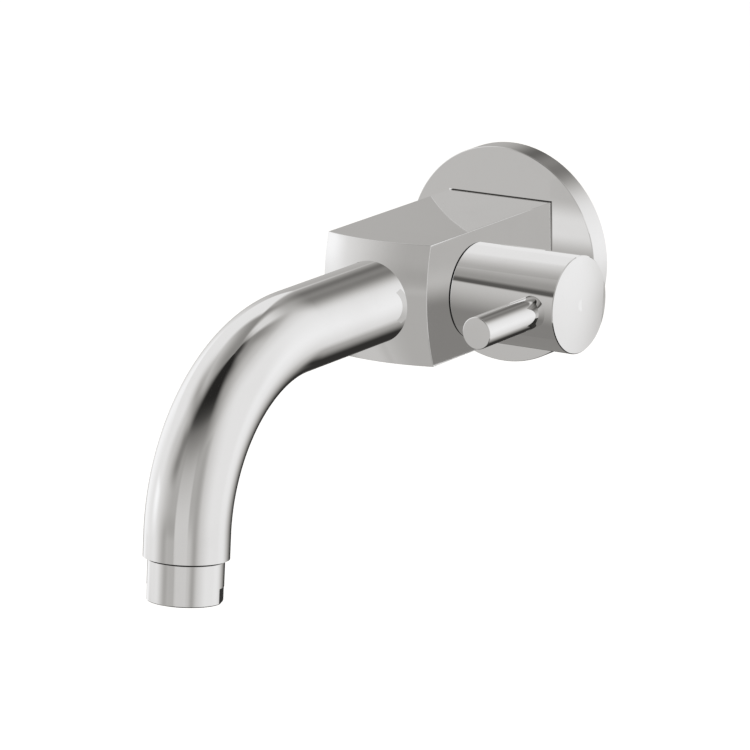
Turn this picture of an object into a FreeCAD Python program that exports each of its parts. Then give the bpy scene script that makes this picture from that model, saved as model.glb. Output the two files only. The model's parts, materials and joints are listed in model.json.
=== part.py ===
import FreeCAD, Part
import os
import re
import Sketcher

# Wall-mounted sink tap, in millimetres. The origin is on the bar's axis in the plane of the wall,
# +Y points into the wall, +Z is up, and the tap stands out towards -Y with its handle on the +X side.

DOC = FreeCAD.newDocument("SinkTap")

SIZES = {
    # square bar with a domed front
    "bar_width": 40,
    "bar_length": 70.5,
    "bar_setback": 3,
    "dome_rise": 6,
    "bar_edge_round": 0.15,
    # round flange on the wall
    "flange_diameter": 73,
    "flange_depth": 8,
    "flange_face_wall": 2,
    "flange_rim_wall": 4,
    "flange_edge_chamfer": 0.3,
    "window_clearance": 0.2,
    "wall_seal_width": 1.8,
    "wall_seal_depth": 1.8,
    "wall_seal_land": 0.8,
    "grip_seal_thickness": 2.5,
    # inlet nipple with a G1/2 thread
    "inlet_thread_diameter": 20.955,
    "nipple_reach": 20,
    "nipple_engagement": 9.5,
    "nipple_collar_diameter": 26.6,
    "nipple_collar_thickness": 2.5,
    "nipple_washer_thickness": 1.5,
    "nipple_key_flats": 12,
    "thread_chamfer": 1,
    # water ways in the bar
    "inlet_pool_length": 5,
    "inlet_channel_diameter": 8,
    "inlet_channel_offset": 8,
    "seat_port_diameter": 11,
    "outlet_channel_diameter": 10,
    "outlet_channel_offset": 5,
    # general clearances
    "fit_clearance": 0.05,
    "running_gap": 0.05,
    # valve headwork in the bar's side
    "handle_from_flange": 45.5,
    "chamber_depth": 22,
    "headwork_thread_diameter": 20.955,
    "headwork_thread_length": 9,
    "seat_seal_thickness": 2.5,
    "seat_seal_bore": 12,
    "skirt_diameter": 19.4,
    "skirt_wall": 1.1,
    "skirt_lift": 0.5,
    "disc_clearance": 0.2,
    "fixed_disc_thickness": 3.5,
    "moving_disc_thickness": 3,
    "disc_port_inner_diameter": 5,
    "disc_port_outer_diameter": 13.6,
    "disc_port_angle": 80,
    "driver_thickness": 4,
    "driver_diameter": 16,
    "driver_width": 4.5,
    "driver_engagement": 1,
    "disc_tab_width": 4,
    "thrust_washer_thickness": 0.8,
    "window_length": 5.5,
    "window_height": 12,
    "collar_flats": 22,
    "collar_thickness": 3,
    "neck_diameter": 15,
    "neck_length": 2,
    "spindle_diameter": 10,
    "spline_diameter": 8,
    "spline_length": 11,
    "spline_shoulder": 2,
    "spline_groove_diameter": 0.8,
    "spindle_ring_section": 1,
    "spindle_ring_spacing": 4,
    "spindle_ring_start": 4,
    "circlip_thickness": 1,
    "circlip_diameter": 13,
    "circlip_groove_diameter": 8.4,
    "circlip_mouth": 3,
    "housing_ring_section": 1.7,
    # handle on the side of the bar
    "handle_diameter": 31.8,
    "handle_gap": 0.75,
    "handle_length": 38.95,
    "handle_end_rise": 1,
    "handle_edge_chamfer": 0.25,
    "handle_hollow_diameter": 26.8,
    "handle_hollow_depth": 7.65,
    "adaptor_diameter": 18,
    "adaptor_length": 12,
    "adaptor_start": 0.5,
    "glide_ring_outer_diameter": 30.2,
    "glide_ring_width": 1.3,
    "glide_ring_thickness": 1.8,
    "glide_ring_gap": 0.1,
    "glide_lip_inset": 0.25,
    # pin lever
    "pin_diameter": 10.4,
    "pin_reach": 47.1,
    "pin_from_base": 30.85,
    "pin_end_chamfer": 0.3,
    "pin_stud_diameter": 5,
    "pin_stud_length": 8,
    # grub screws
    "grub_diameter": 4,
    "grub_key_flats": 2,
    "grub_key_depth": 2.5,
    "grub_tip_diameter": 2.5,
    "grub_tip_length": 0.8,
    "handle_grub_length": 5.5,
    "handle_grub_from_base": 13.65,
    "spout_grub_length": 7.5,
    # bent spout
    "spout_diameter": 27,
    "spout_wall": 2.5,
    "spout_straight": 49,
    "spout_bend_radius": 58,
    "spout_bend_angle": 83.5,
    "spout_tail": 7.2,
    "spout_end_chamfer": 0.3,
    "spout_insertion": 7.5,
    "spigot_nose_length": 11,
    "spigot_sleeve_length": 11,
    "spigot_wall": 3,
    "spigot_ring_section": 1.8,
    "spigot_ring_first": 1.6,
    "spigot_ring_spacing": 3,
    "lock_groove_width": 4.4,
    "lock_groove_depth": 1.2,
    "lock_from_nose": 8.2,
    # aerator with an M24 thread
    "outlet_thread_diameter": 23.5,
    "outlet_thread_depth": 9,
    "aerator_diameter": 24,
    "aerator_height": 13.6,
    "aerator_gap": 0.8,
    "aerator_undercut": 0.7,
    "aerator_thread_length": 6.5,
    "aerator_wall": 1.8,
    "aerator_lip_width": 1,
    "aerator_lip_height": 1.2,
    "aerator_edge_chamfer": 0.3,
    "aerator_flat_inset": 0.6,
    "aerator_flat_turn": 26,
    "aerator_flat_height": 5,
    "aerator_washer_thickness": 2.2,
    "aerator_washer_width": 2.3,
    "grid_thickness": 1.5,
    "grid_hole_diameter": 1.6,
    "grid_hole_pitch": 2.3,
    "insert_skirt_wall": 1.3,
    "insert_skirt_height": 2.4,
    "insert_hole_diameter": 2.4,
    "insert_hole_circle": 13,
    "strainer_wall": 0.6,
    "strainer_rise": 2.4,
    "strainer_rim": 1,
    "strainer_hole_diameter": 1.2,
}

# Places worked out from the sizes: distances out from the wall, or from the centre of the bar.
PLACES = {
    "bar_corner": "flange_depth + bar_length",
    "bar_nose": "bar_corner + dome_rise",
    "bar_half": "bar_width / 2",
    "bar_corner_reach": "bar_half * sqrt(2)",
    "dome_radius": "(bar_corner_reach ^ 2 + dome_rise ^ 2) / (2 * dome_rise)",
    "flange_hollow_radius": "flange_diameter / 2 - flange_rim_wall",
    "grip_seal_radius": "(bar_corner_reach + flange_hollow_radius) / 2",
    "window_half": "bar_half + window_clearance",
    "wall_seal_inner": "flange_hollow_radius + wall_seal_land",
    "wall_seal_outer": "wall_seal_inner + wall_seal_width",
    "inlet_thread_radius": "inlet_thread_diameter / 2",
    "nipple_seat": "bar_setback + nipple_collar_thickness + nipple_washer_thickness",
    "nipple_end": "nipple_seat + nipple_engagement",
    "nipple_socket_radius": "nipple_collar_diameter / 2 + 4 * fit_clearance",
    "handle_out": "flange_depth + handle_from_flange",
    "chamber_radius": "headwork_thread_diameter / 2 + fit_clearance",
    "chamber_floor": "bar_half - chamber_depth",
    "inlet_channel_radius": "inlet_channel_diameter / 2",
    "disc_radius": "skirt_diameter / 2 - skirt_wall - disc_clearance",
    "skirt_start": "chamber_floor + skirt_lift",
    "fixed_disc_start": "chamber_floor + seat_seal_thickness",
    "moving_disc_start": "fixed_disc_start + fixed_disc_thickness + running_gap",
    "moving_disc_end": "moving_disc_start + moving_disc_thickness",
    "driver_start": "moving_disc_end - driver_engagement",
    "driver_end": "driver_start + driver_thickness",
    "ledge_start": "driver_end + running_gap + thrust_washer_thickness",
    "headwork_thread_start": "bar_half - headwork_thread_length",
    "housing_ring_outer": "chamber_radius + housing_ring_section + 2 * fit_clearance",
    "neck_start": "bar_half + collar_thickness",
    "neck_end": "neck_start + neck_length",
    "spindle_radius": "spindle_diameter / 2",
    "spindle_bore_radius": "spindle_radius + running_gap",
    "spindle_ring_place": "ledge_start + spindle_ring_start",
    "circlip_start": "neck_end + 3 * running_gap",
    "circlip_end": "circlip_start + circlip_thickness",
    "spline_start": "circlip_end + spline_shoulder / 2",
    "spline_end": "spline_start + spline_length",
    "handle_base": "bar_half + handle_gap",
    "handle_rim": "handle_base + handle_length",
    "handle_radius": "handle_diameter / 2",
    "handle_end_radius": "(handle_radius ^ 2 + handle_end_rise ^ 2) / (2 * handle_end_rise)",
    "handle_web": "handle_base + handle_hollow_depth",
    "adaptor_base": "handle_web + adaptor_start",
    "adaptor_end": "adaptor_base + adaptor_length",
    "glide_ring_outer": "glide_ring_outer_diameter / 2",
    "glide_ring_inner": "glide_ring_outer - glide_ring_width",
    "glide_ring_start": "bar_half + glide_ring_gap",
    "glide_ring_end": "glide_ring_start + glide_ring_thickness",
    "glide_lip_radius": "handle_radius - glide_lip_inset",
    "pin_place": "handle_base + pin_from_base",
    "grub_radius": "grub_diameter / 2",
    "grub_hole_radius": "grub_radius + fit_clearance",
    "handle_grub_place": "handle_base + handle_grub_from_base",
    "handle_grub_start": "adaptor_diameter / 2 + 2 * fit_clearance",
    "spout_radius": "spout_diameter / 2",
    "spout_bore_radius": "spout_radius - spout_wall",
    "spout_socket_radius": "spout_radius + fit_clearance",
    "tube_start": "bar_nose - spout_insertion",
    "bend_start": "bar_corner + spout_straight",
    "nose_end": "tube_start - spigot_nose_length",
    "nose_socket_end": "nose_end - 6 * fit_clearance",
    "sleeve_end": "tube_start + spigot_sleeve_length",
    "spigot_radius": "spout_bore_radius - fit_clearance",
    "spigot_ring_place": "nose_end + spigot_ring_first",
    "spigot_ring_centre": "spout_bore_radius - spigot_ring_section / 2",
    "spigot_ring_groove": "spigot_ring_centre - spigot_ring_section / 2 - fit_clearance",
    "lock_out": "nose_end + lock_from_nose",
    "lock_groove_radius": "spigot_radius - lock_groove_depth",
    "lock_start": "lock_groove_radius + fit_clearance",
    "bend_end_out": "bend_start + spout_bend_radius * sin(spout_bend_angle)",
    "bend_end_drop": "spout_bend_radius * (1 - cos(spout_bend_angle))",
    "outlet_out": "bend_end_out + spout_tail * cos(spout_bend_angle)",
    "outlet_drop": "bend_end_drop + spout_tail * sin(spout_bend_angle)",
    "outlet_heading": "90 + spout_bend_angle",
    "outlet_thread_radius": "outlet_thread_diameter / 2",
    "aerator_radius": "aerator_diameter / 2",
    "aerator_bore_radius": "outlet_thread_radius - aerator_wall",
    "aerator_neck_radius": "outlet_thread_radius - aerator_undercut",
    "aerator_lip_start": "aerator_height - aerator_lip_height",
    "grid_start": "aerator_lip_start - grid_thickness",
    "insert_radius": "aerator_bore_radius - 2 * fit_clearance",
    "strainer_radius": "insert_radius - strainer_rim",
}

# Headings: which way a turned piece's own axis points, as a turn about an axis of the frame.
X_AXIS = FreeCAD.Vector(1, 0, 0)
Y_AXIS = FreeCAD.Vector(0, 1, 0)
HEADINGS = {
    "out": (X_AXIS, "90"),
    "side": (Y_AXIS, "90"),
    "down": (X_AXIS, "180"),
    "outlet": (X_AXIS, "outlet_heading"),
}


def expression(text):
    """Turn plain size and place names into references to the two sheets."""
    def reference(match):
        word = match.group(0)
        if word in SIZES:
            return f"Sizes.{word}"
        return f"Places.{word}" if word in PLACES else word
    return re.sub(r"[a-z_]+", reference, text)


def fill_sheet(name, cells):
    sheet = DOC.addObject("Spreadsheet::Sheet", name)
    for row, (alias, content) in enumerate(cells.items(), start=1):
        sheet.set(f"A{row}", alias)
        sheet.set(f"B{row}", content)
        sheet.setAlias(f"B{row}", alias)
    DOC.recompute()
    return sheet


SHEET = fill_sheet("Sizes", {alias: str(value) for alias, value in SIZES.items()})
fill_sheet("Places", {alias: "=" + expression(formula) for alias, formula in PLACES.items()})


def measure(text):
    return float(SHEET.evalExpression(expression(text)))


def bind(item, field, text):
    item.setExpression(field, expression(text))


# Placing and checking


def place(item, heading="out", x="0", out="0", drop="0"):
    """Set a piece's own frame: its axis along the heading, its start at x, out from the wall, below."""
    axis, angle = HEADINGS[heading]
    item.Placement = FreeCAD.Placement(FreeCAD.Vector(), FreeCAD.Rotation(axis, measure(angle)))
    bind(item, "Placement.Rotation.Angle", angle)
    bind(item, "Placement.Base.x", x)
    bind(item, "Placement.Base.y", f"-1 * ({out})")
    bind(item, "Placement.Base.z", f"-1 * ({drop})")


def new_body(label, heading="out", x="0", out="0", drop="0"):
    body = DOC.addObject("PartDesign::Body", label)
    body.Label = label
    place(body, heading, x, out, drop)
    return body


def add_feature(body, kind, name):
    return body.newObject("PartDesign::" + kind, f"{body.Label}_{name}")


def settle(body, feature, before, removes):
    """Recompute, and make sure that a cut removed material and an addition added some."""
    body.Tip = feature
    DOC.recompute()
    change = body.Shape.Volume - before
    if (change >= 0) if removes else (change <= 0):
        raise RuntimeError(f"{feature.Name} changed the volume by {change:.3f}")


def volume_of(body):
    return body.Shape.Volume if body.Tip else 0.0


# Sketches


def new_sketch(body, name, plane="XZ_Plane", shift=("0", "0"), lift="0", turn="0"):
    """A sketch on one of the body's own planes, shifted and turned in it, and lifted off it."""
    sketch = body.newObject("Sketcher::SketchObject", f"{body.Label}_{name}")
    support = next(item for item in body.Origin.OriginFeatures if item.Role == plane)
    sketch.AttachmentSupport = (support, [""])
    sketch.MapMode = "FlatFace"
    bind(sketch, "AttachmentOffset.Base.x", shift[0])
    bind(sketch, "AttachmentOffset.Base.y", shift[1])
    bind(sketch, "AttachmentOffset.Base.z", lift)
    bind(sketch, "AttachmentOffset.Rotation.Angle", turn)
    return sketch


def fix_point(sketch, element, point, x, y):
    for kind, text in (("DistanceX", x), ("DistanceY", y)):
        number = sketch.addConstraint(Sketcher.Constraint(kind, -1, 1, element, point, measure(text)))
        bind(sketch, f"Constraints[{number}]", text)


def draw_outline(sketch, corners):
    """A closed straight-sided outline; each corner is a pair of size formulas."""
    points = [FreeCAD.Vector(measure(x), measure(y), 0) for x, y in corners]
    start, count = sketch.GeometryCount, len(corners)
    for index in range(count):
        line = Part.LineSegment(points[index], points[(index + 1) % count])
        sketch.addGeometry(line, False)
    for index in range(count):
        following = start + (index + 1) % count
        sketch.addConstraint(Sketcher.Constraint("Coincident", start + index, 2, following, 1))
    for index, (x, y) in enumerate(corners):
        fix_point(sketch, start + index, 1, x, y)


def draw_circle(sketch, x, y, radius):
    centre = FreeCAD.Vector(measure(x), measure(y), 0)
    circle = Part.Circle(centre, FreeCAD.Vector(0, 0, 1), measure(radius))
    element = sketch.addGeometry(circle, False)
    fix_point(sketch, element, 3, x, y)
    number = sketch.addConstraint(Sketcher.Constraint("Radius", element, measure(radius)))
    bind(sketch, f"Constraints[{number}]", radius)


def rectangle(low_x, low_y, high_x, high_y):
    return [(low_x, low_y), (high_x, low_y), (high_x, high_y), (low_x, high_y)]


def square(half):
    return rectangle(f"-1 * {half}", f"-1 * {half}", half, half)


def hexagon(flats):
    reach = f"{flats} / sqrt(3)"
    return [(f"{reach} * cos({60 * k})", f"{reach} * sin({60 * k})") for k in range(6)]


# Features


def turn(body, name, corners, removes=False, plane="XZ_Plane", axis="V_Axis", shift=("0", "0"), tilt="0"):
    """Turn an outline about the sketch's own axis: on the body's axis, corners are (radius, along)."""
    before = volume_of(body)
    sketch = new_sketch(body, name + "_outline", plane, shift, turn=tilt)
    draw_outline(sketch, corners)
    feature = add_feature(body, "Groove" if removes else "Revolution", name)
    feature.Profile = sketch
    feature.ReferenceAxis = (sketch, [axis])
    feature.Angle = 360
    settle(body, feature, before, removes)
    return feature


def push(body, name, corners, start, length, removes=False, tilt="0"):
    """Raise or cut an outline across the body's axis, from start along it."""
    before = volume_of(body)
    sketch = new_sketch(body, name + "_outline", "XY_Plane", lift=start, turn=tilt)
    draw_outline(sketch, corners)
    feature = add_feature(body, "Pocket" if removes else "Pad", name)
    feature.Profile = sketch
    bind(feature, "Length", length)
    feature.Reversed = removes
    settle(body, feature, before, removes)
    return feature


def cut_across(body, name, plane, half_width, start, end):
    """Cut right through the piece, across its axis, between two places along it."""
    before = volume_of(body)
    sketch = new_sketch(body, name + "_outline", plane)
    draw_outline(sketch, rectangle(f"-1 * ({half_width})", start, half_width, end))
    pocket = add_feature(body, "Pocket", name)
    pocket.Profile = sketch
    pocket.Type = "ThroughAll"
    pocket.SideType = "Symmetric"
    settle(body, pocket, before, True)


def drill(body, name, holes, start, length, copies=1):
    """Cut round holes along the body's axis; each is (x, y, radius), repeated round the axis."""
    before = volume_of(body)
    sketch = new_sketch(body, name + "_outline", "XY_Plane", lift=start)
    for x, y, radius in holes:
        draw_circle(sketch, x, y, radius)
    pocket = add_feature(body, "Pocket", name)
    pocket.Profile = sketch
    bind(pocket, "Length", length)
    pocket.Reversed = True
    settle(body, pocket, before, True)
    if copies > 1:
        once = volume_of(body)
        ring = add_feature(body, "PolarPattern", name + "_ring")
        ring.Originals = [pocket]
        ring.Axis = (sketch, ["N_Axis"])
        ring.Angle = 360
        ring.Occurrences = copies
        settle(body, ring, once, True)


def soften(body, name, kind, size, chosen):
    """Round or bevel the edges of the body so far whose middle points are chosen."""
    before = volume_of(body)
    base = body.Tip
    numbers = [n for n, edge in enumerate(base.Shape.Edges, start=1) if chosen(edge.CenterOfMass)]
    feature = add_feature(body, kind, name)
    feature.Base = (base, [f"Edge{n}" for n in numbers])
    bind(feature, "Radius" if kind == "Fillet" else "Size", size)
    settle(body, feature, before, True)


def dome_end(body, name, rim, rise, reach, ball):
    """Trim the end to a shallow ball: its rim lies at reach from the axis, its middle rise beyond."""
    before = volume_of(body)
    sketch = new_sketch(body, name + "_outline")
    nose, centre, top = f"{rim} + {rise}", f"{rim} + {rise} - {ball}", f"{rim} + 2 * {rise}"
    edge = f"1.1 * {reach}"
    middle = FreeCAD.Vector(0, measure(centre), 0)
    start = FreeCAD.Vector(0, measure(nose), 0)
    reaches = (measure(edge) / 2, measure(edge))
    half_way, end = [FreeCAD.Vector(x, middle.y + (measure(ball) ** 2 - x ** 2) ** 0.5, 0) for x in reaches]
    above_start = FreeCAD.Vector(0, measure(top), 0)
    above_end = FreeCAD.Vector(end.x, above_start.y, 0)
    sketch.addGeometry(Part.Arc(end, half_way, start), False)
    for first, second in ((start, above_start), (above_start, above_end), (above_end, end)):
        sketch.addGeometry(Part.LineSegment(first, second), False)
    for element, point, other, other_point in ((0, 2, 1, 1), (1, 2, 2, 1), (2, 2, 3, 1), (3, 2, 0, 1)):
        sketch.addConstraint(Sketcher.Constraint("Coincident", element, point, other, other_point))
    fix_point(sketch, 0, 3, "0", centre)
    fix_point(sketch, 1, 1, "0", nose)
    fix_point(sketch, 2, 1, "0", top)
    fix_point(sketch, 3, 1, edge, top)
    sketch.addConstraint(Sketcher.Constraint("Vertical", 3))
    groove = add_feature(body, "Groove", name)
    groove.Profile = sketch
    groove.ReferenceAxis = (sketch, ["V_Axis"])
    groove.Angle = 360
    settle(body, groove, before, True)


def turned(label, corners, **where):
    body = new_body(label, **where)
    turn(body, "shape", corners)
    return body


def seal_rings(label, centre_radius, section, places, **where):
    """One ring or more of round section about a piece's axis, each at its own place."""
    rings = []
    for number, spot in enumerate(places, start=1):
        ring = DOC.addObject("Part::Torus", f"{label}_{number}")
        bind(ring, "Radius1", centre_radius)
        bind(ring, "Radius2", f"{section} / 2")
        place(ring, **{**where, **spot})
        rings.append(ring)
    if len(rings) == 1:
        rings[0].Label = label
        return rings[0]
    group = DOC.addObject("Part::Compound", label)
    group.Links = rings
    group.Label = label
    return group


# The bar and what sits on the wall


def tap_body():
    body = new_body("tap_body")
    push(body, "bar", square("bar_half"), "bar_setback", "bar_nose - bar_setback")
    dome_end(body, "dome", "bar_corner", "dome_rise", "bar_corner_reach", "dome_radius")
    back = measure("bar_setback") + 1
    soften(body, "edges", "Fillet", "bar_edge_round", lambda middle: middle.z > back)
    nipple_bore = "inlet_thread_radius + fit_clearance"
    bore_end = "nipple_end + inlet_pool_length"
    turn(body, "inlet_socket", [
        ("0", "bar_setback - 1"), ("nipple_socket_radius", "bar_setback - 1"),
        ("nipple_socket_radius", "nipple_seat"), (nipple_bore, "nipple_seat"),
        (nipple_bore, bore_end), ("0", bore_end)], removes=True)
    turn(body, "inlet_channel", rectangle("0", "nipple_end", "inlet_channel_radius", "handle_out"),
         removes=True, shift=("-1 * inlet_channel_offset", "0"))
    ring_recess = "bar_half - housing_ring_section - 2 * fit_clearance"
    turn(body, "chamber", [
        ("chamber_floor", "0"), ("bar_half + 1", "0"), ("bar_half + 1", "housing_ring_outer"),
        (ring_recess, "housing_ring_outer"), (ring_recess, "chamber_radius"),
        ("chamber_floor", "chamber_radius")], removes=True, axis="H_Axis", shift=("0", "handle_out"))
    turn(body, "seat_port",
         rectangle("-1 * inlet_channel_offset", "0", "chamber_floor", "seat_port_diameter / 2"),
         removes=True, axis="H_Axis", shift=("0", "handle_out"))
    turn(body, "outlet_channel",
         rectangle("0", "handle_out", "outlet_channel_diameter / 2", "nose_socket_end + 1"),
         removes=True, shift=("outlet_channel_offset", "0"))
    nose_bore = "spout_bore_radius + fit_clearance"
    turn(body, "spout_socket", [
        ("0", "nose_socket_end"), (nose_bore, "nose_socket_end"), (nose_bore, "tube_start"),
        ("spout_socket_radius", "tube_start"), ("spout_socket_radius", "bar_nose + 1"),
        ("0", "bar_nose + 1")], removes=True)
    turn(body, "lock_hole",
         rectangle("-1 * (bar_half + 1)", "0", "-1 * lock_groove_radius", "grub_hole_radius"),
         removes=True, plane="YZ_Plane", axis="H_Axis", shift=("0", "lock_out"))
    return body


def wall_flange():
    rim, face = "flange_diameter / 2", "flange_depth - flange_face_wall"
    body = turned("wall_flange", [
        ("0", face), ("flange_hollow_radius", face), ("flange_hollow_radius", "0"), (rim, "0"),
        (rim, "flange_depth - flange_edge_chamfer"), (rim + " - flange_edge_chamfer", "flange_depth"),
        ("0", "flange_depth")])
    push(body, "window", square("window_half"), face + " - 1", "flange_face_wall + 2", removes=True)
    turn(body, "seal_groove", rectangle("wall_seal_inner", "-1", "wall_seal_outer", "wall_seal_depth"),
         removes=True)
    return body


def flange_wall_seal():
    return turned("flange_wall_seal", rectangle(
        "wall_seal_inner + fit_clearance", "0", "wall_seal_outer - fit_clearance", "wall_seal_depth"))


def flange_grip_seal():
    face = "flange_depth - flange_face_wall"
    start = face + " - grip_seal_thickness"
    body = turned("flange_grip_seal", rectangle("0", start, "grip_seal_radius", face))
    push(body, "window", square("bar_half"), start + " - 1", "grip_seal_thickness + 2", removes=True)
    return body


def inlet_nipple():
    outer, end = "inlet_thread_radius", "-1 * nipple_reach"
    collar, collar_end = "nipple_collar_diameter / 2", "bar_setback + nipple_collar_thickness"
    body = turned("inlet_nipple", [
        ("0", end), (outer + " - thread_chamfer", end), (outer, end + " + thread_chamfer"),
        (outer, "bar_setback"), (collar, "bar_setback"), (collar, collar_end), (outer, collar_end),
        (outer, "nipple_end"), ("0", "nipple_end")])
    push(body, "key_bore", hexagon("nipple_key_flats"), end + " - 1",
         "nipple_reach + nipple_end + 2", removes=True)
    return body


def nipple_washer():
    return turned("nipple_washer", rectangle(
        "inlet_thread_radius + fit_clearance", "bar_setback + nipple_collar_thickness",
        "nipple_collar_diameter / 2", "nipple_seat"))


# The spout


def spout_tube():
    body = new_body("spout_tube")
    section = new_sketch(body, "section", "XY_Plane", lift="tube_start")
    draw_circle(section, "0", "0", "spout_radius")
    draw_circle(section, "0", "0", "spout_bore_radius")
    spine = new_sketch(body, "spine", "YZ_Plane")
    draw_spout_path(spine)
    DOC.recompute()
    pipe = add_feature(body, "AdditivePipe", "bend")
    pipe.Profile = section
    pipe.Spine = (spine, [f"Edge{n}" for n in range(1, spine.GeometryCount + 1)])
    settle(body, pipe, 0.0, False)
    compare_pipe(body, spine)
    at_outlet = {"plane": "YZ_Plane", "shift": ("-1 * outlet_drop", "outlet_out"), "tilt": "spout_bend_angle"}
    turn(body, "outlet_thread", rectangle("0", "-1 * outlet_thread_depth", "outlet_thread_radius", "1"),
         removes=True, **at_outlet)
    turn(body, "outlet_chamfer", [
        ("spout_radius - spout_end_chamfer", "0"), ("spout_radius + spout_end_chamfer", "0"),
        ("spout_radius + spout_end_chamfer", "-2 * spout_end_chamfer")], removes=True, **at_outlet)
    return body


def draw_spout_path(spine):
    """Straight run, bend and tail as (up, out): the bend's centre lies under the start of the bend."""
    bend, centre_y = measure("spout_bend_radius"), measure("bend_start")
    centre = FreeCAD.Vector(-bend, centre_y, 0)
    start, bend_start = FreeCAD.Vector(0, measure("tube_start"), 0), FreeCAD.Vector(0, centre_y, 0)
    bend_end = FreeCAD.Vector(-measure("bend_end_drop"), measure("bend_end_out"), 0)
    halfway = centre + (bend_start + bend_end - centre * 2).normalize() * bend
    outlet = FreeCAD.Vector(-measure("outlet_drop"), measure("outlet_out"), 0)
    spine.addGeometry(Part.LineSegment(start, bend_start), False)
    spine.addGeometry(Part.Arc(bend_start, halfway, bend_end), False)
    spine.addGeometry(Part.LineSegment(bend_end, outlet), False)
    arc_ends = (1, 2) if spine.Geometry[1].StartPoint.distanceToPoint(bend_start) < 1e-6 else (2, 1)
    spine.addConstraint(Sketcher.Constraint("Coincident", 0, 2, 1, arc_ends[0]))
    spine.addConstraint(Sketcher.Constraint("Coincident", 1, arc_ends[1], 2, 1))
    fix_point(spine, 0, 1, "0", "tube_start")
    fix_point(spine, 0, 2, "0", "bend_start")
    fix_point(spine, 2, 2, "-1 * outlet_drop", "outlet_out")
    fix_point(spine, 1, 3, "-1 * spout_bend_radius", "bend_start")
    number = spine.addConstraint(
        Sketcher.Constraint("DistanceY", -1, 1, 2, 1, measure("bend_end_out")))
    bind(spine, f"Constraints[{number}]", "bend_end_out")


def compare_pipe(body, spine):
    """The tube's volume has to be its section times the length of its path."""
    section = 3.141592653589793 * (measure("spout_radius") ** 2 - measure("spout_bore_radius") ** 2)
    expected = section * spine.Shape.Length
    if abs(volume_of(body) / expected - 1) > 0.001:
        raise RuntimeError(f"spout tube volume {volume_of(body):.1f}, expected {expected:.1f}")


def spout_spigot():
    body = turned("spout_spigot", rectangle(
        "spigot_radius - spigot_wall", "nose_end", "spigot_radius", "sleeve_end"))
    ring_half = "(spigot_ring_section / 2 + 2 * fit_clearance)"
    grooves = [(f"spigot_ring_place + {n} * spigot_ring_spacing", ring_half, "spigot_ring_groove")
               for n in range(2)]
    grooves.append(("lock_out", "(lock_groove_width / 2)", "lock_groove_radius"))
    for number, (middle, half, depth) in enumerate(grooves, start=1):
        turn(body, f"groove_{number}", rectangle(
            depth, f"{middle} - {half}", "spigot_radius + 1", f"{middle} + {half}"), removes=True)
    return body


def spout_o_rings():
    places = [{"out": f"spigot_ring_place + {n} * spigot_ring_spacing"} for n in range(2)]
    return seal_rings("spout_o_rings", "spigot_ring_centre", "spigot_ring_section", places, heading="out")


def grub_screw(label, start, length, **where):
    """A grub screw along its own axis: cone tip first, hexagon key hole at the far end."""
    end, radius = f"{start} + {length}", "grub_radius"
    body = turned(label, [
        ("0", start), ("grub_tip_diameter / 2", start), (radius, f"{start} + grub_tip_length"),
        (radius, end), ("0", end)], **where)
    push(body, "key_hole", hexagon("grub_key_flats"), end + " - grub_key_depth",
         "grub_key_depth + 1", removes=True)
    return body


def spout_lock_screw():
    return grub_screw("spout_lock_screw", "lock_start", "spout_grub_length", heading="down", out="lock_out")


# The aerator, whose pieces are measured along the flow from the end of the tube

OUTLET = {"heading": "outlet", "out": "outlet_out", "drop": "outlet_drop"}
THREAD_TOP = "-1 * aerator_thread_length"


def aerator_housing():
    bore, thread, ring = "aerator_bore_radius", "outlet_thread_radius - fit_clearance", "aerator_radius"
    lip = "aerator_bore_radius - aerator_lip_width"
    body = turned("aerator_housing", [
        (bore, THREAD_TOP), (thread, THREAD_TOP), (thread, "0"), ("aerator_neck_radius", "0"),
        ("aerator_neck_radius", "aerator_gap"), (ring, "aerator_gap"),
        (ring, "aerator_height - aerator_edge_chamfer"), (ring + " - aerator_edge_chamfer", "aerator_height"),
        (lip, "aerator_height"), (lip, "aerator_lip_start"), (bore, "aerator_lip_start")], **OUTLET)
    flat, beyond = "aerator_radius - aerator_flat_inset", "aerator_radius + 1"
    sides = [("right", rectangle(flat, f"-1 * ({beyond})", beyond, beyond)),
             ("left", rectangle(f"-1 * ({beyond})", f"-1 * ({beyond})", f"-1 * ({flat})", beyond))]
    for side, corners in sides:
        push(body, f"flat_{side}", corners, "aerator_height - aerator_flat_height",
             "aerator_flat_height + 1", removes=True, tilt="-1 * aerator_flat_turn")
    return body


def outlet_seal_ring():
    return turned("outlet_seal_ring", rectangle(
        "aerator_neck_radius + fit_clearance", "fit_clearance",
        "aerator_radius - fit_clearance", "aerator_gap - fit_clearance"), **OUTLET)


def aerator_washer():
    outer = "outlet_thread_radius - 2 * fit_clearance"
    return turned("aerator_washer", rectangle(
        outer + " - aerator_washer_width", THREAD_TOP + " - aerator_washer_thickness", outer, THREAD_TOP),
        **OUTLET)


def aerator_insert():
    skirt, ceiling = "insert_radius - insert_skirt_wall", "grid_start - insert_skirt_height"
    body = turned("aerator_insert", [
        ("0", THREAD_TOP), ("insert_radius", THREAD_TOP), ("insert_radius", "grid_start"),
        (skirt, "grid_start"), (skirt, ceiling), ("0", ceiling)], **OUTLET)
    drill(body, "jets", [("insert_hole_circle / 2", "0", "insert_hole_diameter / 2")],
          THREAD_TOP + " - 1", "aerator_thread_length + grid_start + 2", copies=12)
    return body


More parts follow.
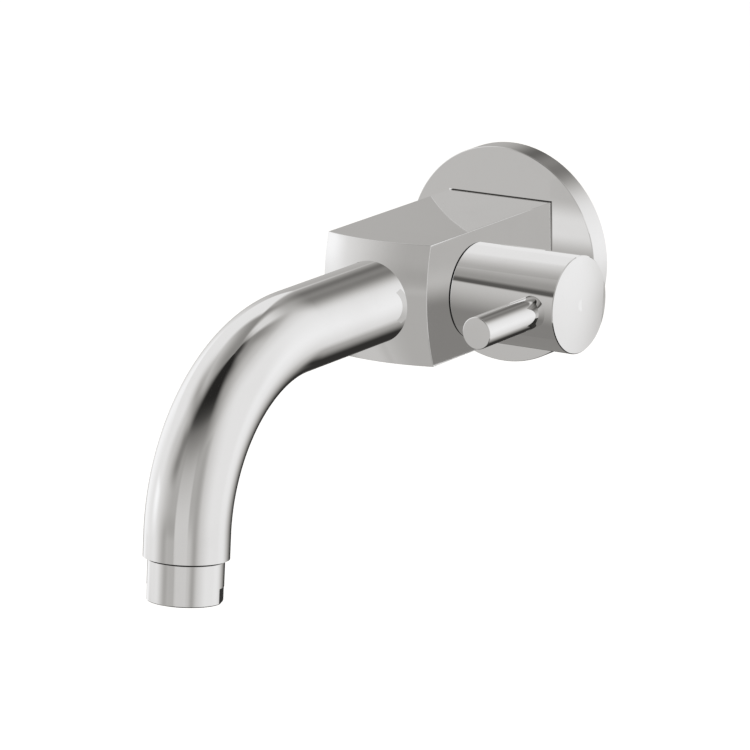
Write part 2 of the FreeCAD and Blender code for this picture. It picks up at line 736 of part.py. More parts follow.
def aerator_strainer():
    rim, top, shoulder = "strainer_radius", THREAD_TOP + " - strainer_rise", "strainer_radius / 3"
    inner, wall = "strainer_radius - strainer_rim", " - strainer_wall"
    body = turned("aerator_strainer", [
        ("0", top), (shoulder, top), (inner, THREAD_TOP), (rim, THREAD_TOP), (rim, THREAD_TOP + wall),
        (inner, THREAD_TOP + wall), (shoulder, top + wall), ("0", top + wall)], **OUTLET)
    drill(body, "sieve", [("strainer_radius / 2", "0", "strainer_hole_diameter / 2")],
          top + wall + " - 1", "strainer_rise + strainer_wall + 2", copies=12)
    return body


def aerator_outlet_grid():
    body = turned("aerator_outlet_grid", rectangle(
        "0", "grid_start", "aerator_bore_radius - fit_clearance", "aerator_lip_start"), **OUTLET)
    start, length = "grid_start - 1", "grid_thickness + 2"
    drill(body, "middle_hole", [("0", "0", "grid_hole_diameter / 2")], start, length)
    for ring in range(1, 4):
        hole = (f"{ring} * grid_hole_pitch", "0", "grid_hole_diameter / 2")
        drill(body, f"holes_{ring}", [hole], start, length, copies=6 * ring)
    return body


# The valve headwork, whose pieces are measured along +X from the middle of the bar

SIDE = {"heading": "side", "out": "handle_out"}
SPLINE_GROOVES = 20


def valve_housing():
    skirt, thread, neck = "skirt_diameter / 2", "headwork_thread_diameter / 2", "neck_diameter / 2"
    body = turned("valve_housing", [
        ("0", "skirt_start"), (skirt, "skirt_start"), (skirt, "headwork_thread_start"),
        (thread, "headwork_thread_start"), (thread, "bar_half"), (neck, "bar_half"), (neck, "neck_end"),
        ("0", "neck_end")], **SIDE)
    push(body, "collar", hexagon("collar_flats"), "bar_half", "collar_thickness")
    inner = "skirt_diameter / 2 - skirt_wall"
    turn(body, "bore", [
        ("0", "skirt_start - 1"), (inner, "skirt_start - 1"), (inner, "ledge_start"),
        ("spindle_bore_radius", "ledge_start"), ("spindle_bore_radius", "neck_end + 1"),
        ("0", "neck_end + 1")], removes=True)
    cut_across(body, "windows", "XZ_Plane", "window_height / 2",
               "moving_disc_start", "moving_disc_start + window_length")
    cut_across(body, "tab_slots", "YZ_Plane", "disc_tab_width / 2 + fit_clearance",
               "skirt_start - 1", "moving_disc_start")
    return body


def housing_o_ring():
    spot = {"x": "bar_half - housing_ring_section / 2 - fit_clearance"}
    return seal_rings("housing_o_ring", "chamber_radius + housing_ring_section / 2 + fit_clearance",
                      "housing_ring_section", [spot], **SIDE)


def seat_seal():
    return turned("seat_seal", rectangle(
        "seat_seal_bore / 2", "chamber_floor", "disc_radius", "fixed_disc_start"), **SIDE)


def port_outline(middle_angle):
    """A keystone port: its outer side in five points on a circle, its inner side in two."""
    inner, outer, half = "disc_port_inner_diameter / 2", "disc_port_outer_diameter / 2", "disc_port_angle / 2"
    angles = [f"({middle_angle} + {share} * {half})" for share in (-1, -0.5, 0, 0.5, 1)]
    corners = [(f"{outer} * cos({angle})", f"{outer} * sin({angle})") for angle in angles]
    for angle in (angles[-1], angles[0]):
        corners.append((f"{inner} * cos({angle})", f"{inner} * sin({angle})"))
    return corners


def cut_ports(body, start, thickness, first_angle):
    """Two ports right through a disc; the two discs' ports are a quarter turn apart when closed."""
    for number in range(2):
        push(body, f"port_{number + 1}", port_outline(first_angle + 180 * number), f"{start} - 1",
             f"{thickness} + 2", removes=True)


def fixed_ceramic_disc():
    start, thickness = "fixed_disc_start", "fixed_disc_thickness"
    outline = rectangle("0", start, "disc_radius", f"{start} + {thickness}")
    body = turned("fixed_ceramic_disc", outline, **SIDE)
    reach, half = "skirt_diameter / 2", "disc_tab_width / 2"
    push(body, "tabs", rectangle(f"-1 * {reach}", f"-1 * {half}", reach, half), start, thickness)
    cut_ports(body, start, thickness, 0)
    return body


def moving_ceramic_disc():
    start, thickness = "moving_disc_start", "moving_disc_thickness"
    outline = rectangle("0", start, "disc_radius", "moving_disc_end")
    body = turned("moving_ceramic_disc", outline, **SIDE)
    half = "(driver_width / 2 + fit_clearance)"
    push(body, "driver_slot", rectangle("-1 * disc_radius - 1", f"-1 * {half}", "disc_radius + 1", half),
         "driver_start", "driver_engagement + 1", removes=True)
    cut_ports(body, start, thickness, 90)
    return body


def thrust_washer():
    inner = "spindle_bore_radius + 2 * running_gap"
    return turned("thrust_washer", rectangle(
        inner, "driver_end + running_gap", "disc_radius", "ledge_start"), **SIDE)


def valve_spindle():
    driver, stem, spline = "driver_diameter / 2", "spindle_radius", "spline_diameter / 2"
    body = turned("valve_spindle", [
        ("0", "driver_start"), (driver, "driver_start"), (driver, "driver_end"), (stem, "driver_end"),
        (stem, "spline_start"), (spline, "spline_start"), (spline, "spline_end"), ("0", "spline_end")],
        **SIDE)
    half, beyond = "driver_width / 2", "driver_diameter"
    low_side = rectangle(f"-1 * {beyond}", f"-1 * {beyond}", beyond, f"-1 * {half}")
    high_side = rectangle(f"-1 * {beyond}", half, beyond, beyond)
    for number, corners in enumerate((low_side, high_side), start=1):
        push(body, f"driver_side_{number}", corners, "driver_start - 1", "driver_thickness + 1",
             removes=True)
    for number in range(2):
        middle = f"spindle_ring_place + {number} * spindle_ring_spacing"
        half_width = "(spindle_ring_section / 2 + 2 * fit_clearance)"
        turn(body, f"ring_groove_{number + 1}", rectangle(
            "spindle_radius - spindle_ring_section", f"{middle} - {half_width}", "spindle_radius + 1",
            f"{middle} + {half_width}"), removes=True)
    turn(body, "circlip_groove", rectangle(
        "circlip_groove_diameter / 2", "circlip_start - fit_clearance", "spindle_radius + 1",
        "circlip_end + fit_clearance"), removes=True)
    drill(body, "spline_grooves", [("spline_diameter / 2", "0", "spline_groove_diameter / 2")],
          "spline_start", "spline_length + 1", copies=SPLINE_GROOVES)
    return body


def spindle_o_rings():
    places = [{"x": f"spindle_ring_place + {n} * spindle_ring_spacing"} for n in range(2)]
    return seal_rings("spindle_o_rings", "spindle_radius - spindle_ring_section / 2", "spindle_ring_section",
                      places, **SIDE)


def spindle_circlip():
    body = turned("spindle_circlip", rectangle(
        "circlip_groove_diameter / 2 + fit_clearance", "circlip_start", "circlip_diameter / 2",
        "circlip_end"), **SIDE)
    half = "circlip_mouth / 2"
    push(body, "mouth", rectangle("0", f"-1 * {half}", "circlip_diameter", half), "circlip_start - 1",
         "circlip_thickness + 2", removes=True)
    return body


# The handle


def handle_barrel():
    edge, end = "handle_edge_chamfer", "handle_rim + handle_end_rise"
    hollow = "handle_hollow_diameter / 2"
    body = turned("handle_barrel", [
        ("0", "handle_web"), (hollow, "handle_web"), (hollow, "handle_base"),
        (f"handle_radius - {edge}", "handle_base"), ("handle_radius", f"handle_base + {edge}"),
        ("handle_radius", end), ("0", end)], **SIDE)
    dome_end(body, "end", "handle_rim", "handle_end_rise", "handle_radius", "handle_end_radius")
    rim = measure("handle_rim") - measure(edge)
    soften(body, "end_edge", "Chamfer", edge, lambda middle: middle.z > rim)
    turn(body, "adaptor_bore", rectangle(
        "0", "handle_web - 1", "adaptor_diameter / 2 + fit_clearance", "adaptor_end + fit_clearance"),
        removes=True)
    turn(body, "ring_recess", rectangle(
        "glide_ring_inner - fit_clearance", "handle_base - 1", "glide_ring_outer + fit_clearance",
        "glide_ring_end"), removes=True)
    turn(body, "pin_hole", rectangle(
        "-1 * (handle_radius + 1)", "0", "-1 * (handle_radius - pin_stud_length - 5 * fit_clearance)",
        "pin_stud_diameter / 2 + fit_clearance"),
        removes=True, plane="YZ_Plane", axis="H_Axis", shift=("0", "pin_place"))
    turn(body, "grub_hole", rectangle("adaptor_diameter / 2", "0", "handle_radius + 1", "grub_hole_radius"),
         removes=True, axis="H_Axis", shift=("0", "handle_grub_place"))
    return body


def handle_adaptor():
    return turned("handle_adaptor", rectangle(
        "spline_diameter / 2 + fit_clearance", "adaptor_base", "adaptor_diameter / 2", "adaptor_end"), **SIDE)


def handle_glide_ring():
    """A ring in the barrel's base, whose thin lip fills the gap to the bar."""
    lip_end = "handle_base - fit_clearance"
    return turned("handle_glide_ring", [
        ("glide_ring_inner", "glide_ring_start"), ("glide_lip_radius", "glide_ring_start"),
        ("glide_lip_radius", lip_end), ("glide_ring_outer", lip_end),
        ("glide_ring_outer", "glide_ring_end"), ("glide_ring_inner", "glide_ring_end")], **SIDE)


def lever_pin():
    radius, edge, reach = "pin_diameter / 2", "pin_end_chamfer", "pin_reach"
    body = turned("lever_pin", [
        ("0", "0"), (radius, "0"), (radius, f"{reach} - {edge}"), (f"{radius} - {edge}", reach),
        ("0", reach)], heading="out", x="pin_place", out="handle_out")
    turn(body, "root", rectangle(f"-1 * {radius} - 1", "0", f"{radius} + 1", "handle_radius"),
         removes=True, axis="H_Axis")
    turn(body, "stud", rectangle(
        "0", "handle_radius - pin_stud_length", "pin_stud_diameter / 2", "handle_radius + 1"))
    return body


def handle_grub_screw():
    return grub_screw("handle_grub_screw", "handle_grub_start", "handle_grub_length",
                      heading="down", x="handle_grub_place", out="handle_out")


PIECES = [
    tap_body, wall_flange, flange_wall_seal, flange_grip_seal, inlet_nipple, nipple_washer,
    spout_tube, spout_spigot, spout_o_rings, spout_lock_screw,
    aerator_housing, outlet_seal_ring, aerator_washer, aerator_insert, aerator_strainer, aerator_outlet_grid,
    valve_housing, housing_o_ring, seat_seal, fixed_ceramic_disc, moving_ceramic_disc, thrust_washer,
    valve_spindle, spindle_o_rings, spindle_circlip,
    handle_barrel, handle_adaptor, handle_glide_ring, lever_pin, handle_grub_screw,
]


def check(pieces):
    for item in DOC.Objects:
        if "Invalid" in item.State or "Error" in item.State:
            raise RuntimeError(f"{item.Name} is {item.State}")
    for piece in pieces:
        if piece.Shape.isNull() or not piece.Shape.isValid() or not piece.Shape.Solids:
            raise RuntimeError(f"{piece.Label} has no valid shape")


def main():
    pieces = [make() for make in PIECES]
    DOC.recompute()
    check(pieces)
    os.makedirs("parts", exist_ok=True)
    for piece in pieces:
        piece.Shape.exportStep(f"parts/{piece.Label}.step")
        box = piece.Shape.BoundBox
        print(f"{piece.Label}: {len(piece.Shape.Solids)} solids, {piece.Shape.Volume:.1f} mm3, "
              f"x {box.XMin:.1f} to {box.XMax:.1f}, y {box.YMin:.1f} to {box.YMax:.1f}, "
              f"z {box.ZMin:.1f} to {box.ZMax:.1f}")


main()
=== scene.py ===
import json
import math

import bmesh
import bpy
from mathutils import Matrix, Vector

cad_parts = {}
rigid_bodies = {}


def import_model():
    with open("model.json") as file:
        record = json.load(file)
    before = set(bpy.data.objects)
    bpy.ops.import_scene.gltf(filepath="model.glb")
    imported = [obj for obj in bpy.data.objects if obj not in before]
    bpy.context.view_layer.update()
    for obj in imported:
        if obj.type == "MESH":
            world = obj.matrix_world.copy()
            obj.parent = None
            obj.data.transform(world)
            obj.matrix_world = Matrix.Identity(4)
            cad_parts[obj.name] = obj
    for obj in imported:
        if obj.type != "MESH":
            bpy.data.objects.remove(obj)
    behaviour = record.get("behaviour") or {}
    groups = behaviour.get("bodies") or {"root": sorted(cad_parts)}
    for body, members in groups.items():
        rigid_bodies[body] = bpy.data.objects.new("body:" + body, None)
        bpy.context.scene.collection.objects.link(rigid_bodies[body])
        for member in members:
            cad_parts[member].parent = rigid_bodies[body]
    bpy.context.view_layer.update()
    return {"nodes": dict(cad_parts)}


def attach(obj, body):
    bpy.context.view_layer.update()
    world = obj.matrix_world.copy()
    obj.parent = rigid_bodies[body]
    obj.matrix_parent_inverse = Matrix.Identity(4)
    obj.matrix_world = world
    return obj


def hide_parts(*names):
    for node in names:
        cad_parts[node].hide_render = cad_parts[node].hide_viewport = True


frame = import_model()
nodes = frame["nodes"]
mm = 0.001
quarter = math.radians(90)
fullTurn = math.radians(360)
weld = 0.0005 * mm                  # points nearer to each other than this are one
print("frame loaded:", len(nodes), "nodes")


# Helpers for node trees

socketKinds = {"Vector": "NodeSocketVector", "Clean": "NodeSocketColor", "Aged": "NodeSocketColor",
               "Color": "NodeSocketColor"}


def newGroup(name, inputs, outputs):
    group = bpy.data.node_groups.new(name, "ShaderNodeTree")
    for direction, labels in (("INPUT", inputs), ("OUTPUT", outputs)):
        for label in labels:
            group.interface.new_socket(
                label, in_out=direction, socket_type=socketKinds.get(label, "NodeSocketFloat"))
    return group, group.nodes.new("NodeGroupInput").outputs, group.nodes.new("NodeGroupOutput").inputs


def fillSockets(tree, node, sockets):
    for key, value in sockets.items():
        if isinstance(value, bpy.types.NodeSocket):
            tree.links.new(value, node.inputs[key])
        else:
            node.inputs[key].default_value = value


def addNode(tree, kind, sockets, **settings):
    node = tree.nodes.new(kind)
    for key, value in settings.items():
        setattr(node, key, value)
    fillSockets(tree, node, sockets)
    return node


def placeGroup(tree, group, sockets):
    node = tree.nodes.new("ShaderNodeGroup")
    node.node_tree = group
    fillSockets(tree, node, sockets)
    return node.outputs


def calculate(tree, operation, *values):
    return addNode(tree, "ShaderNodeMath", dict(enumerate(values)), operation=operation).outputs[0]


def remap(tree, value, fromMin, fromMax, toMin, toMax, kind="LINEAR"):
    node = addNode(tree, "ShaderNodeMapRange", {
        "Value": value, "From Min": fromMin, "From Max": fromMax, "To Min": toMin, "To Max": toMax},
        interpolation_type=kind)
    return node.outputs["Result"]


def noise(tree, vector, scale, detail=3.0, roughness=0.5):
    node = addNode(tree, "ShaderNodeTexNoise", {
        "Vector": vector, "Scale": scale, "Detail": detail, "Roughness": roughness})
    return node.outputs["Fac"]


def stretch(tree, vector, scale):
    return addNode(tree, "ShaderNodeMapping", {"Vector": vector, "Scale": scale}).outputs[0]


# Surface effects that several materials share, in object coordinates, so that a scale is per metre

buffed = {
    "hazeScale": 60.0, "hazeDetail": 4.0, "hazeContrast": 0.6,
    "hairScale": (300, 5200, 1400), "hairDetail": 2.0, "hairContrast": 0.7,
    "hairFrom": 0.5, "hairTo": 0.75, "hairLeast": 0.35,
    "waveScale": 140.0, "waveDetail": 1.0,
}


def makeBuffing():
    # faint cloth-buffing haze and hairlines of polished plating
    group, given, result = newGroup("buffing", ("Vector", "Haze", "Shine"), ("Roughness", "Height"))
    haze = noise(group, given["Vector"], buffed["hazeScale"], buffed["hazeDetail"], buffed["hazeContrast"])
    stretched = stretch(group, given["Vector"], buffed["hairScale"])
    hairs = noise(group, stretched, 1.0, buffed["hairDetail"], buffed["hairContrast"])
    shown = remap(group, hairs, buffed["hairFrom"], buffed["hairTo"], buffed["hairLeast"], 1.0)
    marks = calculate(group, "MULTIPLY", haze, shown)
    rough = calculate(group, "MULTIPLY_ADD", marks, given["Haze"], given["Shine"])
    wave = noise(group, given["Vector"], buffed["waveScale"], buffed["waveDetail"])
    group.links.new(rough, result["Roughness"])
    group.links.new(wave, result["Height"])
    return group


turned = {"wobbleScale": 700.0, "unevenness": 0.6, "wearScale": 220.0, "wearDetail": 4.0}


def makeLatheLines():
    # turning marks: fine rings that follow the piece's axis, which is Y
    group, given, result = newGroup("latheLines", ("Vector", "Pitch"), ("Mask", "Height"))
    parts = addNode(group, "ShaderNodeSeparateXYZ", {"Vector": given["Vector"]}).outputs
    distance = calculate(group, "SQRT", calculate(
        group, "ADD", calculate(group, "MULTIPLY", parts[0], parts[0]),
        calculate(group, "MULTIPLY", parts[2], parts[2])))
    travel = calculate(group, "DIVIDE", calculate(group, "ADD", distance, parts[1]), given["Pitch"])
    wobble = calculate(
        group, "MULTIPLY", noise(group, given["Vector"], turned["wobbleScale"]), turned["unevenness"])
    wave = calculate(group, "SINE", calculate(group, "MULTIPLY_ADD", travel, fullTurn, wobble))
    lines = remap(group, wave, -1.0, 1.0, 0.0, 1.0)
    wear = noise(group, given["Vector"], turned["wearScale"], turned["wearDetail"])
    group.links.new(calculate(group, "MULTIPLY", lines, wear), result["Mask"])
    group.links.new(lines, result["Height"])
    return group


skin = {"grainDetail": 2.0, "cloudScale": 180.0, "cloudDetail": 5.0, "cloudContrast": 0.6}


def makeMouldGrain():
    # the fine grain and cloudy sheen of a moulded surface
    group, given, result = newGroup(
        "mouldGrain", ("Vector", "Grain", "Haze", "Shine"), ("Roughness", "Height"))
    grain = noise(group, given["Vector"], given["Grain"], skin["grainDetail"])
    clouds = noise(group, given["Vector"], skin["cloudScale"], skin["cloudDetail"], skin["cloudContrast"])
    rough = calculate(group, "MULTIPLY_ADD", clouds, given["Haze"], given["Shine"])
    group.links.new(rough, result["Roughness"])
    group.links.new(grain, result["Height"])
    return group


patches = {
    "detail": 6.0, "contrast": 0.62, "softness": 0.3,
    "speckScale": 2400.0, "speckDetail": 2.0, "speckShare": 0.25,
}


def makeAgeing():
    # patchy change of colour: tarnish on brass, fading on fibre, a film on plating
    group, given, result = newGroup("ageing", ("Vector", "Scale", "Cover", "Clean", "Aged"), ("Color",))
    cloud = noise(group, given["Vector"], given["Scale"], patches["detail"], patches["contrast"])
    speckle = noise(group, given["Vector"], patches["speckScale"], patches["speckDetail"])
    both = calculate(group, "MULTIPLY_ADD", speckle, patches["speckShare"], cloud)
    start = calculate(group, "SUBTRACT", 1.0, given["Cover"])
    end = calculate(group, "ADD", start, patches["softness"])
    mask = remap(group, both, start, end, 0.0, 1.0, "SMOOTHSTEP")
    mix = addNode(group, "ShaderNodeMix", {0: mask, 6: given["Clean"], 7: given["Aged"]}, data_type="RGBA")
    group.links.new(mix.outputs[2], result["Color"])
    return group


buffing = makeBuffing()
latheLines = makeLatheLines()
mouldGrain = makeMouldGrain()
ageing = makeAgeing()
print("surface groups made")


# Materials


def newMaterial(name, metallic, **constants):
    material = bpy.data.materials.new(name)
    material.use_nodes = True
    tree = material.node_tree
    shader = tree.nodes["Principled BSDF"]
    shader.inputs["Metallic"].default_value = metallic
    for key, value in constants.items():
        shader.inputs[key.replace("_", " ")].default_value = value
    return material, tree, shader, tree.nodes.new("ShaderNodeTexCoord").outputs["Object"]


def addBump(tree, shader, height, distance, strength=1.0):
    bump = addNode(tree, "ShaderNodeBump", {"Height": height, "Distance": distance, "Strength": strength})
    tree.links.new(bump.outputs["Normal"], shader.inputs["Normal"])


def addColour(tree, shader, vector, look):
    colour = placeGroup(tree, ageing, {
        "Vector": vector, "Scale": look["patchScale"], "Cover": look["cover"],
        "Clean": look["clean"], "Aged": look["aged"]})["Color"]
    tree.links.new(colour, shader.inputs["Base Color"])


polished = {
    "chrome": {
        "name": "polishedChrome", "haze": 0.035, "shine": 0.028, "waviness": 0.004 * mm,
        "clean": (0.887, 0.886, 0.884, 1), "aged": (0.863, 0.861, 0.858, 1),
        "patchScale": 35.0, "cover": 0.42},
    "steel": {
        "name": "stainlessSteel", "haze": 0.25, "shine": 0.2, "waviness": 0.01 * mm,
        "clean": (0.62, 0.61, 0.59, 1), "aged": (0.46, 0.45, 0.44, 1),
        "patchScale": 300.0, "cover": 0.4},
}


def makePolished(look):
    material, tree, shader, place = newMaterial(look["name"], 1)
    addColour(tree, shader, place, look)
    marks = placeGroup(tree, buffing, {"Vector": place, "Haze": look["haze"], "Shine": look["shine"]})
    tree.links.new(marks["Roughness"], shader.inputs["Roughness"])
    addBump(tree, shader, marks["Height"], look["waviness"])
    return material


brass = {
    "clean": (0.83, 0.61, 0.31, 1), "aged": (0.55, 0.36, 0.16, 1), "patchScale": 130.0, "cover": 0.4,
    "pitch": 0.16 * mm, "lineDepth": 0.01 * mm, "lineStrength": 0.6,
    "wornMost": 0.7, "smooth": 0.2, "worn": 0.38,
}


def makeBrass(name, turn, shift):
    # turned and moved to lathe coordinates, whose Y is the piece's own axis
    material, tree, shader, place = newMaterial(name, 1)
    addColour(tree, shader, place, brass)
    along = addNode(tree, "ShaderNodeMapping", {
        "Vector": place, "Location": shift, "Rotation": turn}, vector_type="TEXTURE").outputs[0]
    lines = placeGroup(tree, latheLines, {"Vector": along, "Pitch": brass["pitch"]})
    rough = remap(tree, lines["Mask"], 0.0, brass["wornMost"], brass["smooth"], brass["worn"])
    tree.links.new(rough, shader.inputs["Roughness"])
    addBump(tree, shader, lines["Height"], brass["lineDepth"], brass["lineStrength"])
    return material


moulded = {
    "rubber": {
        "name": "blackRubber", "shine": 0.52, "haze": 0.22, "grain": 3200.0, "depth": 0.02 * mm,
        "clean": (0.018, 0.018, 0.019, 1), "aged": (0.05, 0.05, 0.052, 1),
        "patchScale": 160.0, "cover": 0.45, "gloss": 0.4},
    "plastic": {
        "name": "mouldedPlastic", "shine": 0.3, "haze": 0.18, "grain": 2200.0, "depth": 0.012 * mm,
        "clean": (0.1, 0.1, 0.107, 1), "aged": (0.14, 0.14, 0.147, 1),
        "patchScale": 160.0, "cover": 0.45, "gloss": 0.5},
    # also gives the near-black of the outlet's ring, which is painted shade in that gap
    "glide": {
        "name": "blackAcetal", "shine": 0.48, "haze": 0.16, "grain": 2600.0, "depth": 0.01 * mm,
        "clean": (0.012, 0.012, 0.013, 1), "aged": (0.022, 0.022, 0.023, 1),
        "patchScale": 160.0, "cover": 0.45, "gloss": 0.15},
    "ceramic": {
        "name": "whiteCeramic", "shine": 0.1, "haze": 0.12, "grain": 5200.0, "depth": 0.002 * mm,
        "clean": (0.86, 0.85, 0.81, 1), "aged": (0.8, 0.785, 0.74, 1),
        "patchScale": 160.0, "cover": 0.3, "gloss": 0.5},
}


def makeMoulded(look):
    material, tree, shader, place = newMaterial(look["name"], 0, Specular_IOR_Level=look["gloss"])
    addColour(tree, shader, place, look)
    surface = placeGroup(tree, mouldGrain, {
        "Vector": place, "Grain": look["grain"], "Haze": look["haze"], "Shine": look["shine"]})
    tree.links.new(surface["Roughness"], shader.inputs["Roughness"])
    addBump(tree, shader, surface["Height"], look["depth"])
    return material


fibre = {
    "clean": (0.36, 0.085, 0.055, 1), "aged": (0.5, 0.2, 0.13, 1), "patchScale": 0.7, "cover": 0.55,
    "strandScale": (900, 900, 2600), "strandDetail": 4.0, "strandContrast": 0.7, "strandDepth": 0.03 * mm,
    "strandFrom": 0.3, "strandTo": 0.7, "smooth": 0.7, "rough": 0.95,
}


def makeFibre():
    # vulcanised fibre: pressed paper with short pale strands
    material, tree, shader, place = newMaterial("redFibre", 0)
    flow = stretch(tree, place, fibre["strandScale"])
    addColour(tree, shader, flow, fibre)
    strands = noise(tree, flow, 1.0, fibre["strandDetail"], fibre["strandContrast"])
    rough = remap(tree, strands, fibre["strandFrom"], fibre["strandTo"], fibre["smooth"], fibre["rough"])
    tree.links.new(rough, shader.inputs["Roughness"])
    addBump(tree, shader, strands, fibre["strandDepth"])
    return material


valveOut = 53.5 * mm                # how far the handle's axis stands out of the wall
finishes = {
    "brassOut": makeBrass("turnedBrass", (0, 0, 0), (0, 0, 0)),
    "brassSide": makeBrass("turnedBrassSide", (0, 0, quarter), (0, -valveOut, 0)),
    "fibre": makeFibre(),
}
finishes.update({name: makePolished(look) for name, look in polished.items()})
finishes.update({name: makeMoulded(look) for name, look in moulded.items()})
nodeFinish = {
    "nipple_washer": "fibre",
    "flange_grip_seal": "rubber", "flange_wall_seal": "rubber", "spout_o_rings": "rubber",
    "housing_o_ring": "rubber", "seat_seal": "rubber", "spindle_o_rings": "rubber",
    "aerator_washer": "rubber",
    "inlet_nipple": "brassOut", "spout_spigot": "brassOut", "valve_housing": "brassSide",
    "valve_spindle": "brassSide",
    "spout_lock_screw": "steel", "handle_grub_screw": "steel", "spindle_circlip": "steel",
    "aerator_strainer": "steel",
    "fixed_ceramic_disc": "ceramic", "moving_ceramic_disc": "ceramic",
    # outlet_seal_ring is a near-black ring set in the gap at the spout's outlet, as painted shade for that
    # gap
    "thrust_washer": "glide", "handle_glide_ring": "glide", "outlet_seal_ring": "glide",
    "aerator_insert": "plastic", "aerator_outlet_grid": "plastic", "handle_adaptor": "plastic",
}
for name, node in nodes.items():
    node.data.materials.clear()
    node.data.materials.append(finishes[nodeFinish.get(name, "chrome")])
print("materials made:", len(finishes))


# Helpers for pieces

edging = {"sharpFrom": math.radians(38), "roundFrom": math.radians(60), "profile": 0.5}


def linkMesh(name, bm):
    mesh = bpy.data.meshes.new(name)
    bm.to_mesh(mesh)
    bm.free()
    item = bpy.data.objects.new(name, mesh)
    bpy.context.scene.collection.objects.link(item)
    return item


def linkSolid(name, bm):
    bmesh.ops.remove_doubles(bm, verts=bm.verts, dist=weld)
    bmesh.ops.recalc_face_normals(bm, faces=bm.faces)
    return linkMesh(name, bm)


def newPiece(name, bm, node, body, finish):
    piece = linkSolid(name, bm)
    mesh = piece.data
    for face in mesh.polygons:
        face.use_smooth = True
    mesh.set_sharp_from_angle(angle=edging["sharpFrom"])
    mesh.materials.append(finishes[finish])
    piece.modifiers.new("evenNormals", "WEIGHTED_NORMAL").keep_sharp = True
    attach(piece, body)
    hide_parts(node)
    print("piece made:", name, len(mesh.polygons), "faces")


def edgesOf(verts):
    # each edge once, in the same order in every run
    return list(dict.fromkeys(edge for vert in verts for edge in vert.link_edges))


def vertsOf(edges):
    return list(dict.fromkeys(vert for edge in edges for vert in edge.verts))


def grow(bm, edges):
    # extrudes a loop and gives the new points and the new open loop
    grown = bmesh.ops.extrude_edge_only(bm, edges=edges)["geom"]
    return ([item for item in grown if isinstance(item, bmesh.types.BMVert)],
            [item for item in grown if isinstance(item, bmesh.types.BMEdge) and item.is_boundary])


def ringRadius(ring, angle):
    # a ring is a circle or a square of the same turn, so its corners fall on its points
    if ring[0] == "square":
        return ring[1] / max(abs(math.cos(angle)), abs(math.sin(angle)))
    return ring[1]


def stackRings(bm, rings, count, place):
    # joins rings of (form, radius, out) one after the other and gives each ring's edges
    verts = bmesh.ops.create_circle(bm, radius=1, segments=count)["verts"]
    edges = edgesOf(verts)
    angles = {vert: math.atan2(vert.co.y, vert.co.x) for vert in verts}
    loops = []
    for index, ring in enumerate(rings):
        if index:
            previous = {tuple(vert.co): angles[vert] for vert in verts}
            verts, edges = grow(bm, edges)
            angles = {vert: previous[tuple(vert.co)] for vert in verts}
        for vert in verts:
            vert.co = place(ringRadius(ring, angles[vert]), angles[vert], ring[2])
        loops.append(edges)
    return loops


def roundEdges(bm, width, segments, chosen):
    # rounds the sharp edges whose points are both chosen
    sharp = [edge for edge in bm.edges if len(edge.link_faces) == 2
             and edge.calc_face_angle(0) > edging["roundFrom"]
             and all(chosen(vert.co) for vert in edge.verts)]
    bmesh.ops.bevel(bm, geom=sharp, offset=width, offset_type="OFFSET", segments=segments,
                    profile=edging["profile"], affect="EDGES", clamp_overlap=True, material=-1)


# Wall flange: a shallow cup with a square window for the bar and a seal groove in its back

flange = {
    "rim": 36.5 * mm, "depth": 8 * mm, "faceWall": 2 * mm, "hollow": 32.5 * mm,
    "window": 20.35 * mm, "grooveInner": 33.3 * mm, "grooveOuter": 35.1 * mm, "grooveDepth": 1.8 * mm,
    "edgeRound": 0.3 * mm, "roundSteps": 4, "points": 192,
}


def makeFlange():
    back = flange["depth"] - flange["faceWall"]
    rings = [
        ("square", flange["window"], back), ("square", flange["window"], flange["depth"]),
        ("round", flange["rim"], flange["depth"]), ("round", flange["rim"], 0),
        ("round", flange["grooveOuter"], 0), ("round", flange["grooveOuter"], flange["grooveDepth"]),
        ("round", flange["grooveInner"], flange["grooveDepth"]), ("round", flange["grooveInner"], 0),
        ("round", flange["hollow"], 0), ("round", flange["hollow"], back)]
    bm = bmesh.new()
    loops = stackRings(bm, rings, flange["points"], lambda radius, angle, out: Vector(
        (radius * math.cos(angle), -out, radius * math.sin(angle))))
    bmesh.ops.bridge_loops(bm, edges=loops[0] + loops[-1])
    roundEdges(bm, flange["edgeRound"], flange["roundSteps"], lambda co: (
        math.hypot(co.x, co.z) > flange["rim"] - weld and co.y < -back))
    newPiece("wallFlange", bm, "wall_flange", "tap", "chrome")


makeFlange()


# Spout: a round tube bent in one sweep, with the outlet's thread bore at its end

spout = {
    "outer": 13.5 * mm, "bore": 11 * mm, "threadBore": 11.8 * mm, "threadDepth": 9 * mm,
    "start": 77 * mm, "bendStart": 127.5 * mm, "bendRadius": 58 * mm, "bendAngle": math.radians(83.5),
    "tail": 7.2 * mm, "endRound": 0.35 * mm, "roundSteps": 3, "roundOut": 180 * mm, "roundBelow": 50 * mm,
    "points": 144, "bendSteps": 84, "threadSteps": 2,
}


